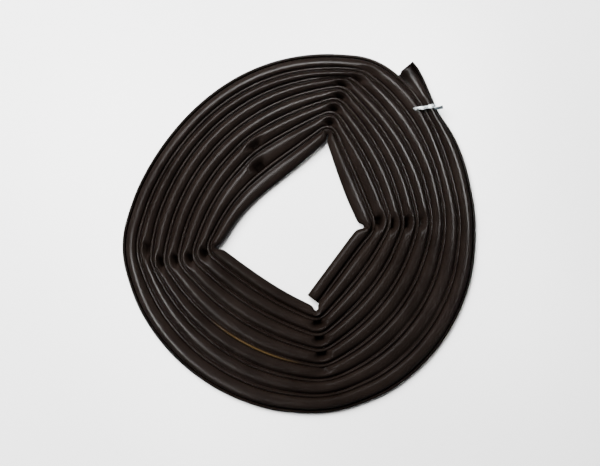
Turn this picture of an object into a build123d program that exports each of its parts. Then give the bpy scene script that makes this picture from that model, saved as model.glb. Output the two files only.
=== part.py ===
from build123d import *
import math
import os

# A length of soft ribbed hose, wound flat in a four-cornered spiral and held by one twist tie.
# Millimetres, +Z up, lying flat on Z = 0. The origin is under the middle of the winding.

os.makedirs("parts", exist_ok=True)

# ---- the hose's section ----
tube_diameter = 16.0
bore_diameter = 13.0
rib_diameter = 4.5
rib_gap = 0.6  # recess between the tube and its rib, bridged by the web
rib_height = 6.5  # height of the rib's middle above the ground
web_thickness = 2.0
running_gap = 0.4  # between a part that swings and what it lies beside

# ---- the winding: the points where its sides meet, walked clockwise, and how far each side bulges ----
middle = Vector(-0.4, 0.9)
outer_right = Vector(239.4, 25.2) - middle
outer_bottom = Vector(38.5, -242.9) - middle
outer_left = Vector(-240.4, -29.5) - middle
outer_top = Vector(86.9, 239.2) - middle
bulge_into_right = 14.0
bulge_into_bottom = 60.0
bulge_into_left = 68.0
bulge_into_top = 103.0

hole_right = Vector(84.9, 7.7) - middle
hole_bottom = Vector(23.6, -112.8) - middle
hole_left = Vector(-107.6, -22.9) - middle
hole_top = Vector(33.2, 128.3) - middle
hole_bulge = 21.0

# ---- the outer end: pinched by the tie, then free ----
outer_pivot = Vector(173.5, 178.5) - middle
outer_end_angle = 120.0  # all angles are from +X
neck_half_width = 4.0
neck_half_height = 7.7
neck_length = 24.0
neck_rib_offset = 5.5
outer_end_length = 54.0
outer_end_slant = 18.0  # the end is cut this far off square
first_strand_at_neck = Vector(181.5, 175.0) - middle
first_strand_below_tie = Vector(187.0, 165.0) - middle
second_strand_at_neck = Vector(167.5, 175.5) - middle
second_strand_outside = Vector(134.0, 208.5) - middle
second_strand_bulge = 4.0

# ---- the inner end: the last straight stretch, loose in the middle of the winding ----
inner_pivot = Vector(76.0, -9.1) - middle
inner_end_angle = 233.5
inner_end_length = 100.0
inner_rib_start = 9.0

# ---- the twist tie: a flat strip with a wire in it, looped round the two outermost strands ----
tie_left = Vector(156.4, 169.0) - middle
tie_angle = 7.5
tie_span = 29.0
strip_width = 4.0
strip_thickness = 0.9
wire_diameter = 0.5
loop_corner_radius = 1.5
tie_clearance = 0.1
slot_width = 2.4  # the gap between strands that the tie goes down
slot_length = 5.2
twist_start = -0.5
twist_length = 27.4
twist_width = 6.4
twist_height = 4.6
twist_rounding = 1.5
twist_wire_spacing = 1.8
tail_root = Vector(184.4, 169.3) - middle
tail_angle = 15.0
tail_length = 10.5
tail_height = 19.3
wire_setback = 1.0  # the wire stops this far inside each end of the tail

tube_radius = tube_diameter / 2
bore_radius = bore_diameter / 2
rib_radius = rib_diameter / 2
rib_offset = tube_radius + rib_gap + rib_radius
wall = tube_radius - bore_radius


def heading(degrees):
    """The level unit vector at this angle from +X."""
    return Vector(math.cos(math.radians(degrees)), math.sin(math.radians(degrees)))


def side(start, end, bulge):
    """One side of the winding, walked clockwise: an arc that bulges outward by this much."""
    along = (end - start).normalized()
    outward = Vector(-along.Y, along.X)
    return ThreePointArc(start, (start + end) / 2 + outward * bulge, end)


def level_frame(origin, degrees):
    """A level plane at this point whose X runs along the heading."""
    return Plane(origin=origin, x_dir=heading(degrees), z_dir=(0, 0, 1))


def across(frame, distance):
    """The upright plane square to a frame's X, this far along it. Its X is the frame's Y, and its Y is up."""
    start = frame.origin + frame.x_dir * distance
    return Plane(origin=start, x_dir=frame.y_dir, z_dir=frame.x_dir)


outer_frame = level_frame(outer_pivot, outer_end_angle)
inner_frame = level_frame(inner_pivot, inner_end_angle)
tie_frame = level_frame(tie_left, tie_angle)
tail_frame = level_frame(tail_root, tail_angle)

# The winding keeps a running gap from the rib of its loose inner end.
inner_rib_side = inner_frame.y_dir * (rib_offset + rib_radius + running_gap)
beside_inner_pivot = inner_pivot + inner_rib_side
beside_inner_cut = beside_inner_pivot + inner_frame.x_dir * inner_end_length
hole_beside_inner_pivot = inner_pivot - inner_frame.y_dir * tube_radius


# ---- the wound hose: the closed outer shape of all its turns ----
with BuildPart() as hose_coil:
    with BuildSketch(Plane.XY):
        with BuildLine():
            Line(second_strand_at_neck, first_strand_at_neck)
            Line(first_strand_at_neck, first_strand_below_tie)
            side(first_strand_below_tie, outer_right, bulge_into_right)
            side(outer_right, outer_bottom, bulge_into_bottom)
            side(outer_bottom, outer_left, bulge_into_left)
            side(outer_left, outer_top, bulge_into_top)
            side(outer_top, second_strand_outside, second_strand_bulge)
            Line(second_strand_outside, second_strand_at_neck)
        make_face()
    extrude(amount=tube_diameter)
    with BuildSketch(Plane.XY):
        with BuildLine():
            side(hole_left, hole_top, hole_bulge)
            Line(hole_top, hole_right)
            Line(hole_right, hole_beside_inner_pivot)
            Line(hole_beside_inner_pivot, beside_inner_pivot)
            Line(beside_inner_pivot, beside_inner_cut)
            Line(beside_inner_cut, hole_bottom)
            Line(hole_bottom, hole_left)
        make_face()
    extrude(amount=tube_diameter, mode=Mode.SUBTRACT)
    # Sockets for the rounded roots of the two free ends.
    with BuildSketch(Plane.XY):
        with Locations(outer_pivot):
            Circle(neck_half_width + running_gap)
        with Locations(inner_pivot):
            Circle(tube_radius + running_gap)
    extrude(amount=tube_diameter, mode=Mode.SUBTRACT)
    # The tie's way down between the second and third strands, and its way back underneath.
    with BuildSketch(tie_frame):
        Rectangle(slot_width, slot_length)
    extrude(amount=tube_diameter, mode=Mode.SUBTRACT)
    with BuildSketch(tie_frame):
        with Locations((-slot_width / 2, 0)):
            Rectangle(tie_span + slot_width, slot_length, align=(Align.MIN, Align.CENTER))
    extrude(amount=strip_thickness + running_gap, mode=Mode.SUBTRACT)
hose_coil.part.label = "hose_coil"
export_step(hose_coil.part, "parts/hose_coil.step")


# ---- the outer end: pinched where the tie grips, then opening to its round cut end ----
with BuildPart() as hose_outer_end:
    # The rounded root, which turns in its socket beside the tie.
    with BuildSketch(Plane.XY.offset(tube_radius - neck_half_height)):
        with Locations(outer_pivot):
            Circle(neck_half_width)
    extrude(amount=2 * neck_half_height)
    with BuildSketch(across(outer_frame, 0)):
        with Locations((0, tube_radius)):
            Ellipse(neck_half_width, neck_half_height)
    with BuildSketch(across(outer_frame, neck_length)):
        with Locations((0, tube_radius)):
            Circle(tube_radius)
    loft()
    with BuildSketch(across(outer_frame, neck_length)):
        with Locations((0, tube_radius)):
            Circle(tube_radius)
    extrude(amount=outer_end_length + tube_radius - neck_length)
    # The rib along the outer side, and the web that carries it.
    rib_start = outer_frame.from_local_coords(Vector(neck_half_width, -neck_rib_offset, rib_height))
    rib_end = outer_frame.from_local_coords(
        Vector(outer_end_length + tube_radius, -rib_offset, rib_height)
    )
    with BuildSketch(outer_frame.offset(rib_height - web_thickness / 2)):
        Polygon(
            (neck_half_width, 0),
            (neck_half_width, -neck_rib_offset),
            (outer_end_length + tube_radius, -rib_offset),
            (outer_end_length + tube_radius, 0),
            align=None,
        )
    extrude(amount=web_thickness)
    with BuildSketch(Plane(origin=rib_start, z_dir=rib_end - rib_start)):
        Circle(rib_radius)
    extrude(amount=(rib_end - rib_start).length)
    # The bore, and the passage that narrows into the neck.
    with BuildSketch(across(outer_frame, neck_half_width)):
        with Locations((0, tube_radius)):
            Ellipse(neck_half_width - wall, neck_half_height - wall)
    with BuildSketch(across(outer_frame, neck_length)):
        with Locations((0, tube_radius)):
            Circle(bore_radius)
    loft(mode=Mode.SUBTRACT)
    with BuildSketch(across(outer_frame, neck_length)):
        with Locations((0, tube_radius)):
            Circle(bore_radius)
    extrude(amount=outer_end_length + tube_radius - neck_length, mode=Mode.SUBTRACT)
    slanted_cut = across(outer_frame, outer_end_length).rotated((0, outer_end_slant, 0))
    split(bisect_by=slanted_cut, keep=Keep.BOTTOM)
hose_outer_end.part.label = "hose_outer_end"
export_step(hose_outer_end.part, "parts/hose_outer_end.step")


# ---- the inner end: straight, round and cut square ----
with BuildPart() as hose_inner_end:
    with Locations(inner_pivot + Vector(0, 0, tube_radius)):
        Sphere(tube_radius)
    with BuildSketch(across(inner_frame, 0)):
        with Locations((0, tube_radius)):
            Circle(tube_radius)
    extrude(amount=inner_end_length)
    with BuildSketch(inner_frame.offset(rib_height - web_thickness / 2)):
        with Locations((inner_rib_start, 0)):
            Rectangle(inner_end_length - inner_rib_start, rib_offset, align=(Align.MIN, Align.MIN))
    extrude(amount=web_thickness)
    with BuildSketch(across(inner_frame, inner_rib_start)):
        with Locations((rib_offset, rib_height)):
            Circle(rib_radius)
    extrude(amount=inner_end_length - inner_rib_start)
    with BuildSketch(across(inner_frame, tube_radius)):
        with Locations((0, tube_radius)):
            Circle(bore_radius)
    extrude(amount=inner_end_length, mode=Mode.SUBTRACT)
hose_inner_end.part.label = "hose_inner_end"
export_step(hose_inner_end.part, "parts/hose_inner_end.step")


# ---- the tie's loop: under the two strands, up both sides and over the top ----
loop_low = strip_thickness / 2
loop_high = tube_diameter + tie_clearance + strip_thickness / 2
loop_height = loop_high - loop_low
tie_upright = Plane(origin=tie_left, x_dir=tie_frame.x_dir, z_dir=-tie_frame.y_dir)
loop_corners = [(0, loop_low), (tie_span, loop_low), (tie_span, loop_high), (0, loop_high)]

with BuildPart() as tie_loop_wire:
    with BuildLine(tie_upright) as loop_route:
        FilletPolyline(*loop_corners, radius=loop_corner_radius, close=True)
    with BuildSketch(Plane(origin=loop_route.line @ 0, z_dir=loop_route.line % 0)):
        Circle(wire_diameter / 2)
    sweep(path=loop_route.line)
tie_loop_wire.part.label = "tie_loop_wire"
export_step(tie_loop_wire.part, "parts/tie_loop_wire.step")

with BuildPart() as tie_loop:
    with BuildSketch(tie_upright.offset(-strip_width / 2)):
        with Locations((tie_span / 2, (loop_low + loop_high) / 2)):
            RectangleRounded(
                tie_span + strip_thickness,
                loop_height + strip_thickness,
                loop_corner_radius + strip_thickness / 2,
            )
            RectangleRounded(
                tie_span - strip_thickness,
                loop_height - strip_thickness,
                loop_corner_radius - strip_thickness / 2,
                mode=Mode.SUBTRACT,
            )
    extrude(amount=strip_width)
    add(tie_loop_wire.part, mode=Mode.SUBTRACT)
tie_loop.part.label = "tie_loop"
export_step(tie_loop.part, "parts/tie_loop.step")


# ---- the tie's twisted stem, folded down along the top of the strands ----
twist_middle = loop_high + strip_thickness / 2 + twist_height / 2
twist_wire_places = [
    (-twist_wire_spacing / 2, twist_middle),
    (twist_wire_spacing / 2, twist_middle),
]

with BuildPart() as tie_twist:
    with BuildSketch(across(tie_frame, twist_start)):
        with Locations((0, twist_middle)):
            Ellipse(twist_width / 2, twist_height / 2)
    extrude(amount=twist_length)
    fillet(tie_twist.edges().filter_by(GeomType.ELLIPSE), twist_rounding)
    with BuildSketch(across(tie_frame, twist_start + wire_setback)):
        with Locations(*twist_wire_places):
            Circle(wire_diameter / 2)
    extrude(amount=twist_length - 2 * wire_setback, mode=Mode.SUBTRACT)
tie_twist.part.label = "tie_twist"
export_step(tie_twist.part, "parts/tie_twist.step")

with BuildPart() as tie_twist_wires:
    with BuildSketch(across(tie_frame, twist_start + wire_setback)):
        with Locations(*twist_wire_places):
            Circle(wire_diameter / 2)
    extrude(amount=twist_length - 2 * wire_setback)
tie_twist_wires.part.label = "tie_twist_wires"
export_step(tie_twist_wires.part, "parts/tie_twist_wires.step")


# ---- the tie's loose tail, dark side up, past the outer edge of the winding ----
with BuildPart() as tie_tail:
    with BuildSketch(across(tail_frame, 0)):
        with Locations((0, tail_height)):
            RectangleRounded(strip_width, strip_thickness, strip_thickness / 2 - tie_clearance)
    extrude(amount=tail_length)
    with BuildSketch(across(tail_frame, wire_setback)):
        with Locations((0, tail_height)):
            Circle(wire_diameter / 2)
    extrude(amount=tail_length - 2 * wire_setback, mode=Mode.SUBTRACT)
tie_tail.part.label = "tie_tail"
export_step(tie_tail.part, "parts/tie_tail.step")

with BuildPart() as tie_tail_wire:
    with BuildSketch(across(tail_frame, wire_setback)):
        with Locations((0, tail_height)):
            Circle(wire_diameter / 2)
    extrude(amount=tail_length - 2 * wire_setback)
tie_tail_wire.part.label = "tie_tail_wire"
export_step(tie_tail_wire.part, "parts/tie_tail_wire.step")
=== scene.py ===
import math

import bmesh
import bpy
import numpy as np
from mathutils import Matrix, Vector


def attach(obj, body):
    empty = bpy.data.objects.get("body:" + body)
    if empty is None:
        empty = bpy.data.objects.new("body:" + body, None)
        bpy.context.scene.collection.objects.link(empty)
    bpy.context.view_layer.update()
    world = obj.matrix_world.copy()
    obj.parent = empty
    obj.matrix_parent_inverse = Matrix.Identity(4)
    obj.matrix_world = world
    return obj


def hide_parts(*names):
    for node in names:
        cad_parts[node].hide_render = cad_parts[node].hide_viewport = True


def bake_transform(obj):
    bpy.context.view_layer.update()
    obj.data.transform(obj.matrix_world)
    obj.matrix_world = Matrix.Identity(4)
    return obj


# A length of soft ribbed hose, wound flat in a four-cornered spiral and held by one twist tie.
# Lengths are in millimetres and become metres by MM as objects are made. Places on the ground are measured
# from the middle of the view, which is MIDDLE in the frame.

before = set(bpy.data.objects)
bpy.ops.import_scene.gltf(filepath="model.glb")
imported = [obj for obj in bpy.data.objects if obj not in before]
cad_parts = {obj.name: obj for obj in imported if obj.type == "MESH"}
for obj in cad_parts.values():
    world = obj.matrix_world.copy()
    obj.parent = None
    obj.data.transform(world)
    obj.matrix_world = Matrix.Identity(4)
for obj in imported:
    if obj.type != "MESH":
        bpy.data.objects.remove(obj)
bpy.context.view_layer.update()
MM = 0.001
MIDDLE = np.array([0.4, -0.9, 0.0])

# ---- the winding ----
# It is walked clockwise inward, and the hose's corners are counted: 1 is right, 2 bottom, 3 left, 4 top, 5
# right again, and so on to 29. A place's turns say how far round it is in the same count.
CORNER_ORDER = ("top", "right", "bottom", "left")
FIRST_COUNT = {"right": 1, "bottom": 2, "left": 3, "top": 4}
INNER_TURNS = {"right": 7, "bottom": 6, "left": 6, "top": 6}
LAST_CORNER = 29
# Each corner's outermost place, its innermost place, and how far the places between bow aside.
CORNERS = {
    "top": ((96.6, 225.3), (39.2, 138.7), (-10.8, 9.7)),
    "right": ((228.7, 20.8), (91.6, 8.3), (1.1, 0.0)),
    "bottom": ((38.8, -234.0), (23.1, -109.4), (0.0, 0.0)),
    "left": ((-233.2, -17.6), (-117.6, -21.0), (0.0, -19.3)),
}
# How far the side that ends at each corner bulges: outermost, middle and innermost turn.
BULGES = {
    "top": (87.3, 57.4, 12.8),
    "right": (20.8, 20.5, -2.0),
    "bottom": (61.2, 30.6, 6.0),
    "left": (69.1, 27.2, 6.6),
}
LEAST_BULGE = 0.5
# How far a bulge leans towards the side's start: outermost and innermost turn.
LEANS = {"top": (-4.1, 4.6), "right": (-1.5, 0.3), "bottom": (-0.5, 1.0), "left": (-0.4, 0.5)}
# Single corners that lie off their row, and single sides that bulge and lean more than their row.
CORNER_STRAYS = {7: (0.0, 5.2), 11: (0.0, -5.9), 12: (-8.0, 2.7), 25: (3.4, 5.5)}
SIDE_STRAYS = {5: (4.0, 5.5)}
FIRST_BULGE = 9.0  # of the short side from the tie to corner 1

# The two ends, as the tube's middle: the outer one from its cut to the tie, the inner one from the last
# corner to its cut.
OUTER_END = [(140.8, 223.5), (151.8, 210.4), (160.4, 197.4), (168.2, 185.2), (174.4, 175.6)]
TIE_PLACE = Vector((177.8, 169.5))
OUTER_END_JOINT = np.array([176.4, 172.2])  # where the outer end's piece meets the winding's
INNER_END = [(76.0, -9.1), (63.0, -26.7), (40.0, -57.6), (16.5, -89.5)]
OUTER_END_TURNS = (-0.3, 0.05)  # its first point's turns, and the step to each next one
INNER_END_TURN_STEP = 0.1

# How sharply the hose is folded at a corner: 0 is a smooth bend, 1 a full kink. The others are full kinks.
FOLDS = {1: 0.0, 2: 0.0, 3: 0.0, 4: 0.45, 5: 0.0, 6: 0.1, 7: 0.8, 8: 0.8, 9: 0.1, 10: 0.5, 13: 0.7}
# Kinks between corners: where on the way round, and how sharp.
EXTRA_KINKS = [(19.6, 0.8), (23.55, 0.9)]
KINK_RISE = 4.0  # the strand stands out to a point there, this far outward
KINK_REACH = 75.0  # over this length each way
KINK_GAP = 14.0  # no other point of the route is this near a kink
KINK_POINTS = (-8.0, 0.0, 8.0)  # the route's own points at a kink
SOFT_REACH = 60.0  # the stretch between a smooth corner and the route's next point
HARD_REACH = 16.0  # the same beside a full kink
STEP = 38.0  # between the route's points elsewhere
POINTS_PER_SPAN = 8

# ---- the hose's section ----
TUBE_POINTS = 26
RIB_POINTS = 11
RING = TUBE_POINTS + RIB_POINTS
TUBE_RADIUS = 8.0
WALL = 1.5
RIB_RADIUS = 2.1
WEB_HALF = 0.6  # half the web's thickness
WEB_DROP = 0.65  # radians below level, where the web meets the rib
WEB_GAP = 1.1  # between the tube and its own rib
NEXT_GAP = -0.15  # the next strand is pressed against the rib
RIB_LIFT = 2.0  # packed ribs stand this far above the tube's middle
RIB_DROP = -2.5  # and a free rib hangs this far below it
LAST_RIB_LIFT = 0.6  # and the last side's rib this far above it
LAST_RIB_FROM = LAST_CORNER - 0.3
OUTER_HALF_RANGE = (4.0, 12.0)
INNER_HALF_RANGE = (4.0, 19.0)
HOLE_HALF_MOST = 9.5  # the most that a strand spreads into the hole in the middle
ALONE = 34.0  # strands further apart than this are not neighbours
SWELL = 0.9  # the outermost turn is this much wider outward, from its first corner
SWELL_TURNS = (1.0, 1.6)
FIRST_TURN_END = 6
FIRST_TUCK = 0.7  # the first side's rib is this far under the tube
FIRST_TUCK_END = 1.3
NARROW_RISE = 0.35  # a squeezed strand stands higher, by this share of what it lost in width
WIDE_SINK = 0.9  # and a spread one lower
MIDDLE_HEIGHT_RANGE = (3.6, 10.5)
SQUARE_RANGE = (0.90, 1.0)  # the section's roundness at the lower right and the upper left: 1 is an ellipse

# ---- the outer end ----
PINCH_REACH = 32.0  # the tie squeezes the hose this far each way
PINCH_NARROWS = 2.6  # by this much,
PINCH_TUCK = 2.2  # pushes its rib this far under it,
PINCH_SINK = 0.8  # and presses its middle this far down
END_HALF = 5.4  # the half-width under the tie
END_INNER_SPREAD = 7.2  # how much wider the flat end is, inward and outward
END_OUTER_SPREAD = 7.0
END_TUCK = 2.6  # the rib is this far under the tube beside the tie
FLAT_FROM = 2.0  # from this far beyond the tie, the end gets flat over this length
FLAT_LENGTH = 56.0
FLAT_RIB_HEIGHT = 3.2
CREASE = (0.30, 1.6, 3.0)  # its place as a share of the half-width, its width and its depth
STRIP_SINK = (0.25, 3.0, 1.6)  # the strip beside it: where it starts, over what width, and how deep
STRIP_STEP = 2.2  # the strip's cut is this far back
STRIP_STEP_FROM = (3.2, 1.2)  # where the strip's cut starts to step back, and over what width
STEP_REACH = 30.0  # the step fades out over this length
OUTER_BORE = 26.0  # how far in each cut end is modelled hollow
INNER_BORE = 60.0

# ---- the folds ----
SHELF = 1.3  # a fold's inner flank is pressed down to this height
SHELF_SLOPE = 0.1  # but keeps this share of its own height
SHELF_SPREAD = 5.0  # and spreads this far under the next strand's rib
PRESS_REACH = 8.5  # half the length of the pressed flank
PRESS_FLATNESS = 1.4  # more than 1 gives it a level stretch
PRESS_EDGE = (0.35, 0.45)  # across the tube: where the press starts, and over what share it is complete
UPPER_EDGE = (0.6, 0.8)  # up the tube: how far below its middle it starts to move, and over what share
OPEN_FROM = LAST_CORNER - 3.6  # from here the folds face the hole in the middle, and open into a V
OPEN_REACH = 6.5
OPEN_DEPTH = 0.8  # of the half-width
FLARE = 1.5  # the top of a fold leans outward
FLARE_REACH = 14.0

AMBER_HIGHLIGHT_SPAN = (14.10, 14.64)  # the stretch of the winding whose rib top carries a painted amber highlight
AMBER_HIGHLIGHT_POINTS = (6, 7)  # the rib's points that carry it, at its top

VIEW_WIDTH = 819.6  # on the ground
LENS = 100.0
SENSOR = 36.0


def corner_share(n):
    """The corner's name, and 0 at its outermost turn to 1 at its innermost."""
    name = CORNER_ORDER[n % 4]
    return name, (n - FIRST_COUNT[name]) / 4 / INNER_TURNS[name]


def corner(n):
    """Where corner n is. Corner 0 is the tie."""
    if n == 0:
        return TIE_PLACE
    name, share = corner_share(n)
    outer, inner, bow = (Vector(p) for p in CORNERS[name])
    place = outer.lerp(inner, share) + bow * max(0.0, math.sin(math.pi * share))
    return place + Vector(CORNER_STRAYS.get(n, (0.0, 0.0)))


def bulge_and_lean(n):
    """How far the side that ends at corner n bulges outward, and how far it leans to its start."""
    if n == 1:
        return FIRST_BULGE, 0.0
    name, share = corner_share(n)
    outer, middle, inner = BULGES[name]
    bulge = outer * (1 - share) * (1 - 2 * share)
    bulge += middle * 4 * share * (1 - share)
    bulge += inner * share * (2 * share - 1)
    lean = LEANS[name][0] * (1 - share) + LEANS[name][1] * share
    more_bulge, more_lean = SIDE_STRAYS.get(n, (0.0, 0.0))
    return bulge + more_bulge, lean + more_lean


def on_side(n, share):
    """The tube's middle, this share of the way from corner n to the next, on an arc that bulges outward."""
    start, end = corner(n), corner(n + 1)
    bulge, lean = bulge_and_lean(n + 1)
    if abs(bulge) < LEAST_BULGE:
        bulge = LEAST_BULGE
    chord = (end - start).length
    radius = (chord * chord / 4 + bulge * bulge) / (2 * bulge)
    half_turn = math.asin(chord / 2 / radius)
    turn = (2 * share - 1) * half_turn
    along = (end - start).normalized()
    outward = Vector((-along.y, along.x))
    rise = radius * (math.cos(turn) - math.cos(half_turn)) + lean * math.sin(2 * math.pi * share)
    for kink, _ in EXTRA_KINKS:
        if int(kink) == n:
            rise += KINK_RISE * max(0.0, 1 - abs(share - kink % 1) * chord / KINK_REACH)
    return (start + end) / 2 + along * (radius * math.sin(turn)) + outward * rise


def fold(n):
    """How sharply the hose is folded at corner n."""
    return FOLDS.get(n, 1.0)


def route():
    """The hose's points, and how many quarter turns round each one is: corner n is at n."""
    points = [Vector(p) for p in OUTER_END]
    turns = [OUTER_END_TURNS[0] + OUTER_END_TURNS[1] * i for i in range(len(OUTER_END))]
    for n in range(LAST_CORNER):
        length = (corner(n + 1) - corner(n)).length
        first = (SOFT_REACH + (HARD_REACH - SOFT_REACH) * fold(n)) / length if n else STEP / length
        last = 1 - (SOFT_REACH + (HARD_REACH - SOFT_REACH) * fold(n + 1)) / length
        spaces = max(2, round((last - first) * length / STEP))
        shares = [first + (last - first) * i / spaces for i in range(spaces + 1)]
        for kink, _ in EXTRA_KINKS:
            if int(kink) == n:
                shares = [f for f in shares if abs(f - kink % 1) * length > KINK_GAP]
                shares += [kink % 1 + d / length for d in KINK_POINTS]
        for share in [0.0] + sorted(shares):
            points.append(on_side(n, share))
            turns.append(n + share)
    points.append(corner(LAST_CORNER))
    points += [Vector(p) for p in INNER_END]
    turns += [LAST_CORNER + INNER_END_TURN_STEP * i for i in range(len(INNER_END) + 1)]
    return points, turns


def spline_line(points, turns):
    """The NURBS spline with these points, read as a line, and how far round each place on it is."""
    curve = bpy.data.curves.new("route", "CURVE")
    curve.dimensions = "3D"
    curve.resolution_u = POINTS_PER_SPAN
    spline = curve.splines.new("NURBS")
    spline.points.add(len(points) - 1)
    for point, place in zip(spline.points, points):
        point.co = (*place, 0.0, 1.0)
    spline.order_u = 3
    spline.use_endpoint_u = True
    holder = bpy.data.objects.new("route", curve)
    mesh = bpy.data.meshes.new_from_object(holder)
    line = np.array([v.co[:] for v in mesh.vertices])
    knots = np.arange(len(line)) / (len(line) - 1) * (len(points) - 2) + 0.5
    knots[0], knots[-1] = 0, len(points) - 1
    bpy.data.meshes.remove(mesh)
    bpy.data.objects.remove(holder)
    bpy.data.curves.remove(curve)
    return line, np.interp(knots, np.arange(len(turns)), turns)


def smoothed(values, width):
    """A moving average over this many places each way, with the ends held."""
    held = np.pad(values, width, mode="edge")
    return np.convolve(held, np.ones(2 * width + 1) / (2 * width + 1), mode="valid")


def ramp(values):
    """0 below 0, 1 above 1, and a smooth rise between."""
    x = np.clip(values, 0, 1)
    return x * x * (3 - 2 * x)


def hill(distances, width):
    """1 at no distance, falling off on both sides over about this width."""
    return np.exp(-((distances / width) ** 2))


def neighbour(line, turns, nearest, farthest):
    """How far each place is from the strand that lies between these many quarter turns further round, and
    which place on that strand is the nearest."""
    distance = np.full(len(line), ALONE)
    place = np.arange(len(line))
    for i in range(len(line)):
        others = np.flatnonzero((turns >= turns[i] + nearest) & (turns <= turns[i] + farthest))
        if len(others):
            away = np.linalg.norm(line[others] - line[i], axis=1)
            if away.min() < ALONE and others[away.argmin()] != len(line) - 1:
                distance[i] = away.min()
                place[i] = others[away.argmin()]
    return distance, place


class Hose:
    """The hose's line, and its section's sizes at each place on the line."""

    def __init__(self):
        points, turns = route()
        self.line, self.turns = spline_line(points, turns)
        self.count = len(self.line)
        ahead = np.gradient(self.line, axis=0)
        self.ahead = ahead / np.linalg.norm(ahead, axis=1)[:, None]
        self.outward = np.column_stack([-self.ahead[:, 1], self.ahead[:, 0], np.zeros(self.count)])
        steps = np.linalg.norm(np.diff(self.line, axis=0), axis=1)
        self.along = np.concatenate([[0], np.cumsum(steps)])
        least, most = SQUARE_RANGE
        self.square = least + (most - least) * ramp((self.line[:, 1] - self.line[:, 0] + 150) / 300)
        self.widths()
        self.kinks()

    def widths(self):
        """Half-widths inward and outward, and heights. Each strand is pressed against the next one's rib."""
        inner, inward = neighbour(self.line, self.turns, 3, 5)
        outer, _ = neighbour(self.line, self.turns, -5, -3)
        between = WEB_GAP + NEXT_GAP + 2 * RIB_RADIUS
        free = (outer >= ALONE) | (self.turns > LAST_CORNER)
        self.outer = np.clip((outer - between) / 2, *OUTER_HALF_RANGE)
        start, end = SWELL_TURNS
        swell = SWELL * ramp((self.turns - start) / (end - start)) * (self.turns < FIRST_TURN_END)
        self.outer[free] = TUBE_RADIUS + swell[free]
        self.outer = smoothed(self.outer, 8)
        self.tuck = smoothed(np.where(free & (self.turns < FIRST_TUCK_END), FIRST_TUCK, 0.0), 30)
        rib = np.where(free, RIB_DROP, RIB_LIFT)
        rib[self.turns > LAST_RIB_FROM] = LAST_RIB_LIFT
        self.rib = TUBE_RADIUS + smoothed(rib, 24)
        self.flatten_outer_end()
        self.inner = np.clip(inner - between - self.outer[inward], *INNER_HALF_RANGE)
        facing_hole = inner >= ALONE
        self.inner[facing_hole] = np.minimum(self.outer[facing_hole], HOLE_HALF_MOST)
        self.inner[self.turns > LAST_CORNER] = TUBE_RADIUS
        blend = smoothed(facing_hole.astype(float), 12)
        self.inner = smoothed(self.inner, 2) * (1 - blend) + smoothed(self.inner, 12) * blend
        before_tie = self.turns < 0
        self.inner[before_tie] = END_HALF + END_INNER_SPREAD * self.flat[before_tie]
        self.inner = smoothed(self.inner, 1)
        half = (self.inner + self.outer) / 2
        share = np.where(half < TUBE_RADIUS, NARROW_RISE, WIDE_SINK)
        self.height = TUBE_RADIUS + (TUBE_RADIUS - half) * share
        self.height = np.clip(self.height - PINCH_SINK * self.pinch, *MIDDLE_HEIGHT_RANGE)
        self.rib = np.minimum(self.rib, 2 * self.height - RIB_RADIUS)
        self.rib = self.rib * (1 - self.flat) + FLAT_RIB_HEIGHT * self.flat

    def flatten_outer_end(self):
        """The outer end is squeezed under the tie and pressed flat towards its cut."""
        tie = np.interp(0.0, self.turns, self.along)
        self.pinch = hill(self.along - tie, PINCH_REACH) * (self.turns < 1)
        self.flat = np.clip((tie - self.along - FLAT_FROM) / FLAT_LENGTH, 0, 1)
        self.outer -= PINCH_NARROWS * self.pinch
        self.tuck += PINCH_TUCK * self.pinch
        before_tie = self.turns < 0
        self.outer[before_tie] = END_HALF + END_OUTER_SPREAD * self.flat[before_tie]
        self.tuck[before_tie] = END_TUCK * (1 - self.flat[before_tie])

    def kinks(self):
        """How far the inner flank is pressed in at each place, whether it opens into the middle's hole, and
        how far the top leans outward."""
        self.crush = np.zeros(self.count)
        self.open = ramp((self.turns - OPEN_FROM) / 0.2)
        self.flare = np.zeros(self.count)
        for n, strength in [(n, fold(n)) for n in range(1, LAST_CORNER + 1)] + EXTRA_KINKS:
            away = self.along - np.interp(n, self.turns, self.along)
            shut = np.minimum(1, PRESS_FLATNESS * hill(away, PRESS_REACH))
            pressed = np.where(self.open > 0.5, hill(away, OPEN_REACH), shut)
            self.crush = np.maximum(self.crush, strength * pressed)
            self.flare = np.maximum(self.flare, strength * hill(away, FLARE_REACH))

    def section(self, i, wall=0.0):
        """The tube's points at place i, from above its web round to below it: how far out, and how high."""
        inner, outer, height = self.inner[i] - wall, self.outer[i] - wall, self.height[i]
        web = self.rib[i] - RIB_RADIUS * math.sin(WEB_DROP)
        lift = math.asin(max(-0.9, min(0.9, (web - height) / height)))
        spread = WEB_HALF / outer
        crush, flat = self.crush[i], self.flat[i]
        points = []
        for j in range(TUBE_POINTS):
            angle = lift + spread + (2 * math.pi - 2 * spread) * j / (TUBE_POINTS - 1)
            across, up = math.cos(angle), math.sin(angle)
            half = outer if across > 0 else inner
            x = half * math.copysign(abs(across) ** self.square[i], across)
            z = height + (height - wall) * math.copysign(abs(up) ** self.square[i], up)
            pressed = crush * float(ramp((PRESS_EDGE[0] - across) / PRESS_EDGE[1]))
            upper = max(0.0, min(1.0, (up + UPPER_EDGE[0]) / UPPER_EDGE[1]))
            x += pressed * (inner * OPEN_DEPTH * self.open[i] - SHELF_SPREAD * (1 - self.open[i]))
            z += pressed * upper * (1 - self.open[i]) * (SHELF + SHELF_SLOPE * z - z)
            x += FLARE * self.flare[i] * max(0.0, up) * (1 - abs(across))
            if up > 0:
                place, width, depth = CREASE
                z -= flat * depth * math.exp(-(((x + place * inner) / width) ** 2))
                place, width, depth = STRIP_SINK
                z -= flat * depth * ramp((-x - place * inner) / width)
            points.append((x, z))
        return points

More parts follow.
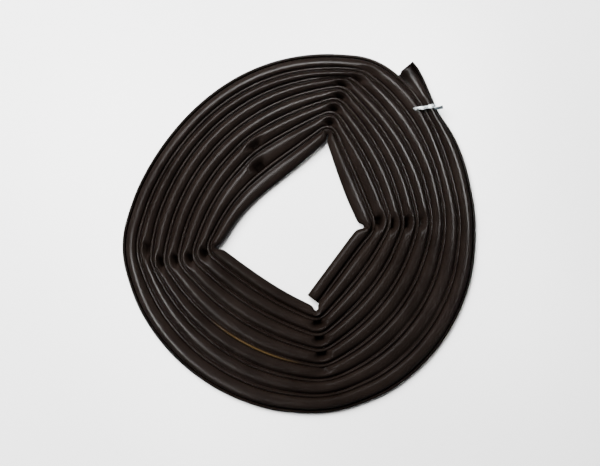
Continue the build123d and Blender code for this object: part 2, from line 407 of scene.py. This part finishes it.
    def rib_section(self, i):
        """The rib's points at place i, from below its web round to above it."""
        middle = self.outer[i] + WEB_GAP + RIB_RADIUS - self.tuck[i]
        gap = math.asin(WEB_HALF / RIB_RADIUS)
        points = []
        for j in range(RIB_POINTS):
            angle = math.pi + WEB_DROP + gap + (2 * math.pi - 2 * gap) * j / (RIB_POINTS - 1)
            points.append((middle + RIB_RADIUS * math.cos(angle), self.rib[i] + RIB_RADIUS * math.sin(angle)))
        return points

    def ring(self, i, section, step=0.0):
        """A section's points in the frame. The strip inside a stepped ring's crease lies further along."""
        start, width = STRIP_STEP_FROM
        corners = []
        for x, z in section:
            back = step * float(ramp((-x - start) / width))
            place = self.line[i] + self.outward[i] * x + self.ahead[i] * back + MIDDLE
            corners.append((place[0], place[1], z))
        return corners


def make_piece(name, verts, faces):
    """A smooth-shaded object from vertices in millimetres."""
    mesh = bpy.data.meshes.new(name)
    mesh.from_pydata([tuple(c * MM for c in v) for v in verts], [], faces)
    mesh.update()
    mesh.shade_smooth()
    piece = bpy.data.objects.new(name, mesh)
    bpy.context.scene.collection.objects.link(piece)
    return piece


def skin(first_a, first_b, count):
    """Faces between two rings of vertices that start at these numbers."""
    faces = []
    for j in range(count):
        k = (j + 1) % count
        faces.append((first_a + j, first_a + k, first_b + k, first_b + j))
    return faces


def tube_piece(name, hose, start, stop, cut=None, step=0.0, bore=0.0):
    """The hose from place start to place stop. cut is the place of an open end, stepped at its crease and
    hollow for the length bore; the other ends are closed where they meet the next piece."""
    verts, faces = [], []
    places = list(range(start, stop + 1))
    if cut == start:
        places.reverse()
    for i in places:
        away = abs(hose.along[i] - hose.along[cut]) if cut is not None else 1e9
        here = step * float(ramp(1 - away / STEP_REACH))
        verts += hose.ring(i, hose.section(i) + hose.rib_section(i), here)
    for k in range(len(places) - 1):
        faces += skin(k * RING, (k + 1) * RING, RING)
    faces.append(tuple(range(RING)))
    last = (len(places) - 1) * RING
    if cut is None:
        faces.append(tuple(last + j for j in range(RING)))
    else:
        inner_places = [i for i in reversed(places) if abs(hose.along[i] - hose.along[cut]) <= bore]
        first = len(verts)
        for i in inner_places:
            away = abs(hose.along[i] - hose.along[cut])
            verts += hose.ring(i, hose.section(i, WALL), step * float(ramp(1 - away / STEP_REACH)))
        faces += [(last + j, last + j + 1, first + j + 1, first + j) for j in range(TUBE_POINTS - 1)]
        web = [last + TUBE_POINTS - 1 + j for j in range(RIB_POINTS + 1)] + [last]
        faces.append(tuple(web + [first, first + TUBE_POINTS - 1]))
        for k in range(len(inner_places) - 1):
            faces += skin(first + k * TUBE_POINTS, first + (k + 1) * TUBE_POINTS, TUBE_POINTS)
        end = first + (len(inner_places) - 1) * TUBE_POINTS
        faces.append(tuple(end + j for j in range(TUBE_POINTS)))
    piece = make_piece(name, verts, faces)
    mesh = piece.data
    for face in mesh.polygons:
        if len(face.vertices) > 4:
            face.use_smooth = False
    return piece


def fix_normals(piece):
    """Turns every face outward."""
    work = bmesh.new()
    work.from_mesh(piece.data)
    bmesh.ops.recalc_face_normals(work, faces=work.faces)
    work.to_mesh(piece.data)
    work.free()


def mark_painted_amber_highlight(piece, hose, start):
    """Gives the top of one stretch of rib the value 1, fading to 0 at both ends, where a painted amber
    highlight shows.
    """
    values = np.zeros(len(piece.data.vertices))
    first, last = AMBER_HIGHLIGHT_SPAN
    for k in range(len(values) // RING):
        t = hose.turns[start + k]
        if first < t < last:
            strength = min(1.0, 3 * min(t - first, last - t) / (last - first))
            for j in AMBER_HIGHLIGHT_POINTS:
                values[k * RING + TUBE_POINTS + j] = strength
    attribute = piece.data.attributes.new("painted_amber_highlight", "FLOAT", "POINT")
    attribute.data.foreach_set("value", values)


def hose_pieces():
    """The winding and the two ends, and the line through the middle of the winding's tube and rib."""
    hose = Hose()
    tie = int(np.argmin(np.linalg.norm(hose.line[:, :2] - OUTER_END_JOINT, axis=1)))
    pivot = int(np.argmin(np.abs(hose.turns - LAST_CORNER)))
    winding = tube_piece("hose_winding", hose, tie, pivot)
    last = hose.count - 1
    outer_end = tube_piece("hose_outer_end_soft", hose, 0, tie, cut=0, step=STRIP_STEP, bore=OUTER_BORE)
    inner_end = tube_piece("hose_inner_end_soft", hose, pivot, last, cut=last, bore=INNER_BORE)
    for piece in (winding, outer_end, inner_end):
        fix_normals(piece)
    mark_painted_amber_highlight(winding, hose, tie)
    middles = []
    for i in range(tie, pivot + 1):
        out = (hose.outer[i] + WEB_GAP + 2 * RIB_RADIUS - hose.tuck[i] - hose.inner[i]) / 2
        p = hose.line[i] + hose.outward[i] * out + MIDDLE
        middles.append((p[0] * MM, p[1] * MM, hose.height[i] * MM))
    return winding, outer_end, inner_end, middles


def add(material, kind, **values):
    """A new shader node with these input values. A name's underscores stand for spaces."""
    node = material.node_tree.nodes.new(kind)
    for key, value in values.items():
        node.inputs[key.replace("_", " ")].default_value = value
    return node


def new_material(name):
    """A new material, its links and its shader."""
    material = bpy.data.materials.new(name)
    material.use_nodes = True
    return material, material.node_tree.links, material.node_tree.nodes["Principled BSDF"]


def vinyl():
    """Brown-black vinyl: fine grain, faint scuffs, and a soft gloss. Low down, in the grooves and fold
    pockets, colour and gloss are darkened as painted shade.
    """
    material, links, shader = new_material("hose_vinyl_look")
    where = add(material, "ShaderNodeTexCoord")
    patches = add(material, "ShaderNodeTexNoise", Scale=28.0, Detail=5.0)
    links.new(where.outputs["Object"], patches.inputs["Vector"])
    tone = add(material, "ShaderNodeValToRGB")
    tone.color_ramp.elements[0].position = 0.3
    tone.color_ramp.elements[0].color = (0.0034, 0.0021, 0.0016, 1)
    tone.color_ramp.elements[1].position = 0.75
    tone.color_ramp.elements[1].color = (0.0066, 0.0044, 0.0035, 1)
    links.new(patches.outputs["Fac"], tone.inputs["Fac"])
    # Painted amber highlight: the top of one stretch of rib is coloured amber, standing in for a tinted
    # highlight on its crest.
    amber_highlight_attribute = add(material, "ShaderNodeAttribute")
    amber_highlight_attribute.attribute_name = "painted_amber_highlight"
    amber_highlight_mix = material.node_tree.nodes.new("ShaderNodeMix")
    amber_highlight_mix.data_type = "RGBA"
    amber_highlight_mix.inputs["B"].default_value = (0.032, 0.019, 0.006, 1)
    links.new(amber_highlight_attribute.outputs["Fac"], amber_highlight_mix.inputs["Factor"])
    links.new(tone.outputs["Color"], amber_highlight_mix.inputs["A"])
    height = add(material, "ShaderNodeSeparateXYZ")
    links.new(where.outputs["Object"], height.inputs["Vector"])
    # Painted shade: from 11 mm down to 4 mm the colour is mixed towards near-black, so that grooves and fold
    # pockets read black.
    painted_shade_by_height = add(material, "ShaderNodeMapRange", From_Min=0.004, From_Max=0.011, To_Min=0.9, To_Max=0.0)
    links.new(height.outputs["Z"], painted_shade_by_height.inputs["Value"])
    painted_shade_mix = material.node_tree.nodes.new("ShaderNodeMix")
    painted_shade_mix.data_type = "RGBA"
    painted_shade_mix.inputs["B"].default_value = (0.0006, 0.0004, 0.0003, 1)
    links.new(painted_shade_by_height.outputs["Result"], painted_shade_mix.inputs["Factor"])
    links.new(amber_highlight_mix.outputs["Result"], painted_shade_mix.inputs["A"])
    links.new(painted_shade_mix.outputs["Result"], shader.inputs["Base Color"])
    fine = add(material, "ShaderNodeTexNoise", Scale=900.0, Detail=3.0)
    links.new(where.outputs["Object"], fine.inputs["Vector"])
    rough = add(material, "ShaderNodeMapRange", To_Min=0.26, To_Max=0.38)
    links.new(patches.outputs["Fac"], rough.inputs["Value"])
    links.new(rough.outputs["Result"], shader.inputs["Roughness"])
    bump = add(material, "ShaderNodeBump", Strength=0.2, Distance=0.0002)
    links.new(fine.outputs["Fac"], bump.inputs["Height"])
    links.new(bump.outputs["Normal"], shader.inputs["Normal"])
    # Painted shade as well: the gloss is turned down from 12 mm down to 4 mm, so that low parts show no
    # reflections.
    gloss = add(material, "ShaderNodeMapRange", From_Min=0.004, From_Max=0.012, To_Min=0.03, To_Max=0.38)
    links.new(height.outputs["Z"], gloss.inputs["Value"])
    links.new(gloss.outputs["Result"], shader.inputs["Specular IOR Level"])
    return material


winding, outer_end, inner_end, middles = hose_pieces()
hose_vinyl = vinyl()
for piece in (winding, outer_end, inner_end):
    piece.data.materials.append(hose_vinyl)
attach(winding, "root")
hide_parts("hose_coil")
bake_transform(outer_end)
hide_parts("hose_outer_end")
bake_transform(inner_end)
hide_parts("hose_inner_end")


# ---- the twist tie ----
# The strip's section: across in half-widths, and up in half-thicknesses. It is thickest over the wire.
STRIP = ((-1, 1), (-0.85, 1.3), (0.85, 1.3), (1, 1), (1, -1), (0.85, -1.3), (-0.85, -1.3), (-1, -1))
STRIP_BACK = (4, 5, 6)  # the section's sides that are the dark back
TWIST_START = (155.0, 168.6)
TWIST_SPAN = (28.6, 4.0)
TWIST_HEIGHT = 19.4
TWIST_DIP = 9.0  # its start comes from this far down in the slot between the strands
TWIST_DIP_SHARE = 0.09
TWIST_TURN = 430.0  # degrees that each leg turns from start to end
TWIST_POINTS = 64
TAIL_START = (183.0, 168.7)
TAIL_SPAN = (11.4, 2.6)
TAIL_HEIGHT = 19.3
TAIL_POINTS = 16
SILVER = ((0.30, 0.38, 0.42, 1), (0.86, 0.90, 0.92, 1))
BLACK = ((0.003, 0.004, 0.005, 1), (0.02, 0.03, 0.035, 1))


def ribbon(name, line, widths, turns, offsets, thickness=0.5):
    """A flat strip along a line. At each place it is this wide, turned this many degrees about the line,
    and stands this far off it on its own face's side. Its two faces take the first and second material."""
    line = [Vector(p) for p in line]
    verts, faces = [], []
    for i, place in enumerate(line):
        ahead = (line[min(i + 1, len(line) - 1)] - line[max(i - 1, 0)]).normalized()
        level = Vector((0, 0, 1)).cross(ahead).normalized()
        upright = ahead.cross(level)
        angle = math.radians(turns[i])
        wide = level * math.cos(angle) + upright * math.sin(angle)
        face = upright * math.cos(angle) - level * math.sin(angle)
        middle = place + face * offsets[i]
        half, thick = widths[i] / 2, thickness / 2
        for side, out in STRIP:
            verts.append(tuple(middle + wide * half * side + face * thick * out + Vector(MIDDLE)))
    count = len(STRIP)
    for i in range(len(line) - 1):
        faces += skin(i * count, (i + 1) * count, count)
    faces.append(tuple(range(count)))
    faces.append(tuple((len(line) - 1) * count + j for j in range(count)))
    piece = make_piece(name, verts, faces)
    fix_normals(piece)
    for face in piece.data.polygons:
        if len(face.vertices) > 4:
            face.use_smooth = False
    for k in range(len(line) - 1):
        for j in STRIP_BACK:
            piece.data.polygons[k * count + j].material_index = 1
    return piece


def spread(count, start, end):
    """This many values, evenly spaced from start to end."""
    return [start + (end - start) * i / (count - 1) for i in range(count)]


def twist_line():
    """The twisted strips' line: up out of the slot between two strands, and level over the outer ones."""
    line = []
    for share in spread(TWIST_POINTS, 0, 1):
        x = TWIST_START[0] + TWIST_SPAN[0] * share
        y = TWIST_START[1] + TWIST_SPAN[1] * share + 0.5 * math.sin(share * 9)
        dip = TWIST_DIP * max(0.0, 1 - share / TWIST_DIP_SHARE) ** 2
        line.append((x, y, TWIST_HEIGHT - dip))
    return line


def tail_line():
    """The tail's line: level, past the outermost strand."""
    line = []
    for share in spread(TAIL_POINTS, 0, 1):
        line.append((TAIL_START[0] + TAIL_SPAN[0] * share, TAIL_START[1] + TAIL_SPAN[1] * share, TAIL_HEIGHT))
    return line


def foil(name, colors, metallic, roughness):
    """A face of the strip, with fine creases: the shiny one or the dark back."""
    material, links, shader = new_material(name)
    where = add(material, "ShaderNodeTexCoord")
    creases = add(material, "ShaderNodeTexNoise", Scale=420.0, Detail=4.0)
    links.new(where.outputs["Object"], creases.inputs["Vector"])
    tone = add(material, "ShaderNodeValToRGB")
    tone.color_ramp.elements[0].position = 0.35
    tone.color_ramp.elements[0].color = colors[0]
    tone.color_ramp.elements[1].position = 0.55
    tone.color_ramp.elements[1].color = colors[1]
    links.new(creases.outputs["Fac"], tone.inputs["Fac"])
    links.new(tone.outputs["Color"], shader.inputs["Base Color"])
    shader.inputs["Metallic"].default_value = metallic
    shader.inputs["Roughness"].default_value = roughness
    bump = add(material, "ShaderNodeBump", Strength=0.5, Distance=0.0004)
    links.new(creases.outputs["Fac"], bump.inputs["Height"])
    links.new(bump.outputs["Normal"], shader.inputs["Normal"])
    return material


def steel():
    """The strip's thin wire: drawn steel."""
    material, links, shader = new_material("tie_wire_look")
    where = add(material, "ShaderNodeTexCoord")
    drawn = add(material, "ShaderNodeTexNoise", Scale=1500.0, Detail=2.0)
    links.new(where.outputs["Object"], drawn.inputs["Vector"])
    rough = add(material, "ShaderNodeMapRange", To_Min=0.25, To_Max=0.45)
    links.new(drawn.outputs["Fac"], rough.inputs["Value"])
    links.new(rough.outputs["Result"], shader.inputs["Roughness"])
    shader.inputs["Base Color"].default_value = (0.45, 0.45, 0.46, 1)
    shader.inputs["Metallic"].default_value = 1.0
    return material


def give(node, material):
    """The CAD node of this name gets this material alone."""
    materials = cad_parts[node].data.materials
    materials.clear()
    materials.append(material)


def tie_pieces():
    """The two twisted legs and the tail, and the looks of the tie's CAD nodes."""
    silver = foil("tie_foil_look", SILVER, 0.25, 0.3)
    back = foil("tie_back_look", BLACK, 0.0, 0.45)
    wire = steel()
    line = twist_line()
    widths = spread(TWIST_POINTS, 3.6, 5.4)
    offsets = spread(TWIST_POINTS, 0.5, 0.9)
    for name, first_turn in (("tie_twist_first_leg", 20.0), ("tie_twist_second_leg", 200.0)):
        angles = [first_turn + TWIST_TURN * share for share in spread(TWIST_POINTS, 0, 1)]
        leg = ribbon(name, line, widths, angles, offsets)
        leg.data.materials.append(silver)
        leg.data.materials.append(back)
        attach(leg, "root")
        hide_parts("tie_twist")
    widths = spread(TAIL_POINTS, 3.0, 4.6)
    angles = spread(TAIL_POINTS, 172.0, 184.0)
    tail = ribbon("tie_tail_strip", tail_line(), widths, angles, [0.0] * TAIL_POINTS, thickness=0.6)
    for _ in range(2):
        tail.data.materials.append(back)
    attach(tail, "tail")
    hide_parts("tie_tail")
    give("tie_loop", silver)
    for node in ("tie_loop_wire", "tie_twist_wires", "tie_tail_wire"):
        give(node, wire)


tie_pieces()


# ---- the view, the light and the ground ----
def look_down():
    """A camera straight above the middle."""
    data = bpy.data.cameras.new("camera")
    data.lens = LENS
    data.sensor_width = SENSOR
    data.sensor_fit = "HORIZONTAL"
    data.clip_end = 20.0
    camera = bpy.data.objects.new("camera", data)
    bpy.context.scene.collection.objects.link(camera)
    distance = VIEW_WIDTH * LENS / SENSOR
    camera.location = (MIDDLE[0] * MM, MIDDLE[1] * MM, (distance + TUBE_RADIUS) * MM)
    bpy.context.scene.camera = camera


def softbox(name, target, azimuth, elevation, distance, width, height, power, spread=180, mirrored=True):
    """A rectangular light aimed at a place on the ground, its distance and sizes in metres. mirrored is
    whether its own shape shows in gloss."""
    data = bpy.data.lights.new(name, "AREA")
    data.shape = "RECTANGLE"
    data.size = width
    data.size_y = height
    data.energy = power
    data.spread = math.radians(spread)
    light = bpy.data.objects.new(name, data)
    light.visible_glossy = mirrored
    az, el = math.radians(azimuth), math.radians(elevation)
    away = Vector((math.cos(az) * math.cos(el), math.sin(az) * math.cos(el), math.sin(el))) * distance
    light.location = Vector((*target, 0)) * MM + away
    light.rotation_euler = (-away).to_track_quat("-Z", "Y").to_euler()
    bpy.context.scene.collection.objects.link(light)


def ground():
    """A pale floor, just under the part."""
    half = 3.0
    corners = [(-half, -half, 0), (half, -half, 0), (half, half, 0), (-half, half, 0)]
    mesh = bpy.data.meshes.new("floor")
    mesh.from_pydata(corners, [], [(0, 1, 2, 3)])
    floor = bpy.data.objects.new("floor", mesh)
    bpy.context.scene.collection.objects.link(floor)
    floor.location.z = -0.0003
    floor.visible_glossy = False
    material, _, shader = new_material("floor_look")
    shader.inputs["Base Color"].default_value = (0.93, 0.93, 0.93, 1)
    shader.inputs["Roughness"].default_value = 0.8
    shader.inputs["Specular IOR Level"].default_value = 0.1
    mesh.materials.append(material)


def studio():
    """A broad soft light from the upper left, and narrow ones that draw streaks along the strands."""
    world = bpy.data.worlds.new("world")
    world.use_nodes = True
    background = world.node_tree.nodes["Background"]
    background.inputs["Color"].default_value = (1, 1, 1, 1)
    background.inputs["Strength"].default_value = 0.10
    bpy.context.scene.world = world
    softbox("key", (0, 0), 128, 52, 2.4, 1.6, 1.6, 330, mirrored=False)
    softbox("broad", (-120, 110), 128, 60, 1.1, 0.8, 0.5, 0.32, spread=26)
    softbox("top_strip", (-20, 190), 95, 62, 1.0, 0.6, 0.12, 0.20, spread=20)
    softbox("right_strip", (190, 70), 25, 62, 1.0, 0.6, 0.12, 0.22, spread=20)
    softbox("left_strip", (-190, -80), 205, 62, 1.0, 0.6, 0.12, 0.20, spread=20)


look_down()
ground()
studio()
